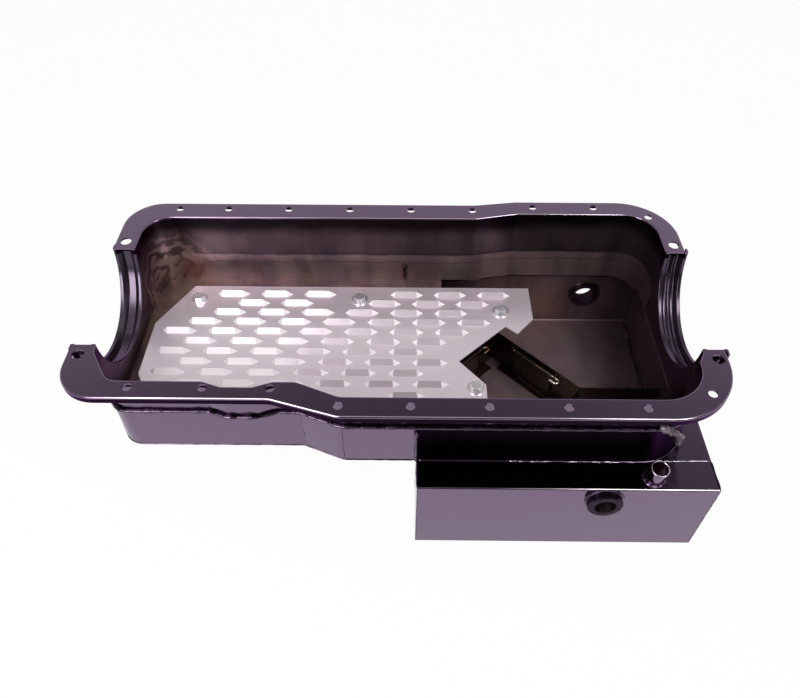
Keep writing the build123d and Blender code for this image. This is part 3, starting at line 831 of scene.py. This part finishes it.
# painted highlight along the kick-out's front seam
bright_run = [(p.x, p.y - 0.5, FLOOR_Z + 0.5) for p in kick_run if BRIGHT_FROM < p.x < BRIGHT_TO and p.y < 0]
bead("seam_kick_front", bright_run, 0.75, SEAM_HIGHLIGHT, rough=1.6, ripple=40.0, seed=7)
bright_end = straight((BRIGHT_TO, FRONT_RIGHT - 3.4, FLOOR_Z), (271.5, FRONT_RIGHT - 2.4, FLOOR_Z))
bead("seam_kick_right", bright_end, 0.55, SEAM_HIGHLIGHT, rough=1.2, ripple=30.0, seed=16)

# the deep sump against the shallow box, front and back, and the ends of its top plate
for tag, y, outward in (("front", FRONT_RIGHT - LAP, -1), ("back", BACK_LEFT + LAP, 1)):
    upper = (SUMP_L - 0.6, y + outward * 1.3, LAP_Z - 4)
    lower = (SUMP_L - 0.2, y + outward * 1.5, FLOOR_Z)
    bead("weld_step_" + tag, straight(upper, lower), 1.9, WELD, rough=0.5, ripple=3.2, seed=8)
    for end, x, radius, seed in (("left", SUMP_L + 0.2, 1.0, 9), ("right", SUMP_R - 0.3, 0.8, 10)):
        edge = straight((x, y, FLOOR_Z + 0.3), (x, outward * (SUMP_Y - 0.4), FLOOR_Z + 0.1))
        bead(f"weld_{end}_top_{tag}", edge, radius, WELD, rough=0.6, seed=seed)

# the upright corners of the deep sump and the bottom edges of its ends
for tag, x in (("left", SUMP_L + 0.9), ("right", SUMP_R - 0.4)):
    for side, y in (("front", -SUMP_Y + 0.3), ("back", SUMP_Y - 0.3)):
        corner = straight((x, y, FLOOR_Z - 2), (x, y, SUMP_Z + 4))
        bead(f"weld_corner_{tag}_{side}", corner, 0.6, WELD, rough=0.5, seed=12)
    bottom = straight((x, -SUMP_Y + 5, SUMP_Z + 1.2), (x, SUMP_Y - 5, SUMP_Z + 1.2))
    bead("weld_bottom_" + tag, bottom, 0.9, WELD, rough=0.4, seed=13)

# creases of the lower wall at the front jog
for tag, x, y in (("a", JOG_LEFT, FRONT_LEFT - 3.4), ("b", JOG_RIGHT, FRONT_RIGHT - 3.1)):
    bead("weld_crease_" + tag, straight((x, y, LAP_Z - 3), (x, y, FLOOR_Z)), 0.6, COAT, rough=1.2, seed=14)

# rings round the bungs and the tube, each lifted a little off its sheet:
# name, middle, lift, ring radius, axis, points, bead radius, finish, rough, ripple, seed
for name, (x, y, z), (dx, dy, dz), reach, axis, count, radius, finish, rough, ripple, seed in (
    ("weld_front_bung", FRONT_BUNG, (0, -0.2, 0), 15.5, "y", 84, 1.5, WELD, 0.6, 4.0, 20),
    ("weld_back_bung", BACK_BUNG, (0, 0.2, 0), 18.7, "y", 96, 1.9, COAT, 0.6, 4.0, 21),
    ("weld_back_bung_inside", BACK_BUNG, (0, -SHEET - 0.2, 0), 16.7, "y", 88, 1.6, BURNT, 0.6, 3.6, 22),
    ("weld_drain_bung", DRAIN_BUNG, (0.2, 0, 0), 14.6, "x", 76, 1.7, COAT, 0.5, 3.6, 23),
    ("weld_tube", TUBE_FOOT, (0, 0, 0.3), 8.8, "z", 48, 1.7, COAT, 0.9, 4.0, 24),
):
    ring = ring_line((x + dx, y + dy, z + dz), reach, axis, count)
    bead(name, ring, radius, finish, closed=True, rough=rough, ripple=ripple, seed=seed)
# the tube's rim as a bright metal ring: a painted highlight
bead("tube_rim", tube_rim_line(40), 0.7, SEAM_HIGHLIGHT, closed=True, rough=0.3, ripple=60.0, seed=26)

# the ragged patch down the lower wall's front right corner, in two layers
patch = [
    (214.8, -121.0, -30),
    (219.7, -120.3, -33.6),
    (224.9, -119.0, -38.1),
    (231.7, -116.0, -45),
    (238.5, -111.5, -55),
    (244.2, -105.8, -66),
    (247.9, -100.6, -82),
]
bead("weld_patch_a", even(patch, PATCH_STEP), 2.6, PATCH, rough=0.9, ripple=3.4, seed=27)
second_layer = [(x - 4.5, y - 0.8, z + 3.0) for x, y, z in patch[1:5]]
bead("weld_patch_b", even(second_layer, PATCH_STEP), 2.2, PATCH, rough=1.4, ripple=3.0, seed=28)

# a lump of weld beside the tube
lump = straight((211.5, -139.5, FLOOR_Z + 0.6), (217.5, -144.4, FLOOR_Z + 0.6))
bead("weld_tube_lump", lump, 2.4, COAT, rough=1.2, ripple=3.0, seed=25)

# inside: the deep sump's right end, one of its corners, and the plate at the slot's left end
end_x = SUMP_R - SHEET - 0.9
end_run = straight((end_x, SUMP_Y - 6, SUMP_FLOOR + 0.9), (end_x, -SUMP_Y + 6, SUMP_FLOOR + 0.9))
bead("weld_in_right_end", end_run, 1.6, BURNT, rough=0.5, ripple=3.4, seed=30)
corner_x, corner_y = SUMP_R - SHEET - 0.8, SUMP_Y - SHEET - 0.8
corner_run = straight((corner_x, corner_y, -104), (corner_x, corner_y, SUMP_FLOOR + 3))
bead("weld_in_right_corner", corner_run, 1.5, BURNT, rough=0.6, ripple=3.4, seed=31)
slot_run = straight((5.0, BACK_LEFT - 0.6, -60), (5.5, BACK_LEFT - 0.6, FLOOR_Z + 2))
bead("weld_slot_end", slot_run, 1.7, BURNT, rough=1.0, ripple=3.0, seed=33)


# ---- floor and world ----

FLOOR_HALF_SIZE = 6.0
FLOOR_GAP = 0.2
FLOOR_GLOW = 0.96
WORLD_LIGHT = 0.55


def seen(tree):
    """1 for rays that show a surface directly, in a mirror or through glass; 0 for those that light it."""
    rays = node(tree, "ShaderNodeLightPath").outputs
    shown = larger(tree, rays["Is Camera Ray"], rays["Is Glossy Ray"])
    return larger(tree, shown, rays["Is Transmission Ray"])


def floor_material():
    """White paper that glows where it is seen, so that hardly a shadow shows on it."""
    material = bpy.data.materials.new("floor_white")
    material.use_nodes = True
    tree = material.node_tree
    shader = tree.nodes["Principled BSDF"]
    shader.inputs["Base Color"].default_value = (0.9, 0.9, 0.9, 1)
    shader.inputs["Roughness"].default_value = 0.9
    shader.inputs["Specular IOR Level"].default_value = 0.0
    glow = node(tree, "ShaderNodeEmission")
    glow.inputs["Color"].default_value = (1, 1, 1, 1)
    blend = node(tree, "ShaderNodeMixShader")
    link(tree, product(tree, seen(tree), FLOOR_GLOW), blend.inputs[0])
    link(tree, shader.outputs[0], blend.inputs[1])
    link(tree, glow.outputs[0], blend.inputs[2])
    link(tree, blend.outputs[0], tree.nodes["Material Output"].inputs["Surface"])
    return material


def studio_world():
    """A room that is bright low behind the object, and dark above and in front of it."""
    world = bpy.data.worlds.new("studio")
    bpy.context.scene.world = world
    world.use_nodes = True
    tree = world.node_tree
    coordinates = node(tree, "ShaderNodeTexCoord")
    _, depth, height = parts_of(tree, coordinates.outputs["Generated"])
    behind = ramp(tree, height, (0.42, 0.88), (1.0, 0.15))
    before = ramp(tree, height, (0.50, 0.66), (0.14, 0.03))
    around = mixed_value(tree, ramp(tree, depth, (-0.25, 0.25)), before, behind)
    sky = tree.nodes["Background"]
    link(tree, mixed(tree, around, (0.0, 0.0, 0.0), (1.0, 1.0, 1.0)), sky.inputs["Color"])
    link(tree, mixed_value(tree, seen(tree), WORLD_LIGHT, 1.0), sky.inputs["Strength"])


floor_mesh = bmesh.new()
bmesh.ops.create_grid(floor_mesh, x_segments=1, y_segments=1, size=FLOOR_HALF_SIZE)
floor_data = bpy.data.meshes.new("floor")
floor_mesh.to_mesh(floor_data)
floor_mesh.free()
floor = bpy.data.objects.new("floor", floor_data)
floor.location = (0, 0, (SUMP_Z - FLOOR_GAP) * MM)
bpy.context.scene.collection.objects.link(floor)
floor_data.materials.append(floor_material())
studio_world()


# ---- lamps and camera, in metres ----


def softbox(name, where, at, size, power):
    lamp = bpy.data.lights.new(name, "AREA")
    lamp.shape = "RECTANGLE"
    lamp.size, lamp.size_y = size
    lamp.energy = power
    made = bpy.data.objects.new(name, lamp)
    made.location = where
    made.rotation_mode = "QUATERNION"
    made.rotation_quaternion = (Vector(at) - Vector(where)).to_track_quat("-Z", "Y")
    bpy.context.scene.collection.objects.link(made)


softbox("front_left", where=(-0.57, -0.80, 0.60), at=(-0.10, 0.0, -0.07), size=(0.46, 1.05), power=12.0)
softbox("front_right", where=(0.67, -0.50, 0.90), at=(0.05, 0.0, -0.05), size=(0.26, 0.7), power=5.0)
softbox("top", where=(0.0, 0.0, 1.30), at=(0.0, 0.05, -0.05), size=(2.4, 1.2), power=6.5)

# the camera that the photograph's bolt holes give
AZIMUTH, ELEVATION, ROLL = math.radians(0.53), math.radians(47.67), math.radians(0.07)
LOOKS_AT = (0.0020, -0.0649, 0.0)
DISTANCE = 0.5904
FOCAL_PIXELS, PHOTO_WIDTH, SENSOR_WIDTH = 707.1, 800, 36.0

level = math.cos(ELEVATION)
forward = Vector((-math.sin(AZIMUTH) * level, math.cos(AZIMUTH) * level, -math.sin(ELEVATION)))
eye = Vector(LOOKS_AT) - forward * DISTANCE
right = Vector((math.cos(AZIMUTH), math.sin(AZIMUTH), 0.0))
up = right.cross(forward)
turned_right = right * math.cos(ROLL) + up * math.sin(ROLL)
turned_up = up * math.cos(ROLL) - right * math.sin(ROLL)
axes = Matrix((turned_right, turned_up, -forward)).transposed().to_4x4()
camera = bpy.data.cameras.new("camera")
camera.sensor_width = SENSOR_WIDTH
camera.lens = FOCAL_PIXELS / PHOTO_WIDTH * SENSOR_WIDTH
view = bpy.data.objects.new("camera", camera)
view.matrix_world = Matrix.Translation(eye) @ axes
bpy.context.scene.collection.objects.link(view)
bpy.context.scene.camera = view
bpy.context.scene.view_settings.view_transform = "Standard"
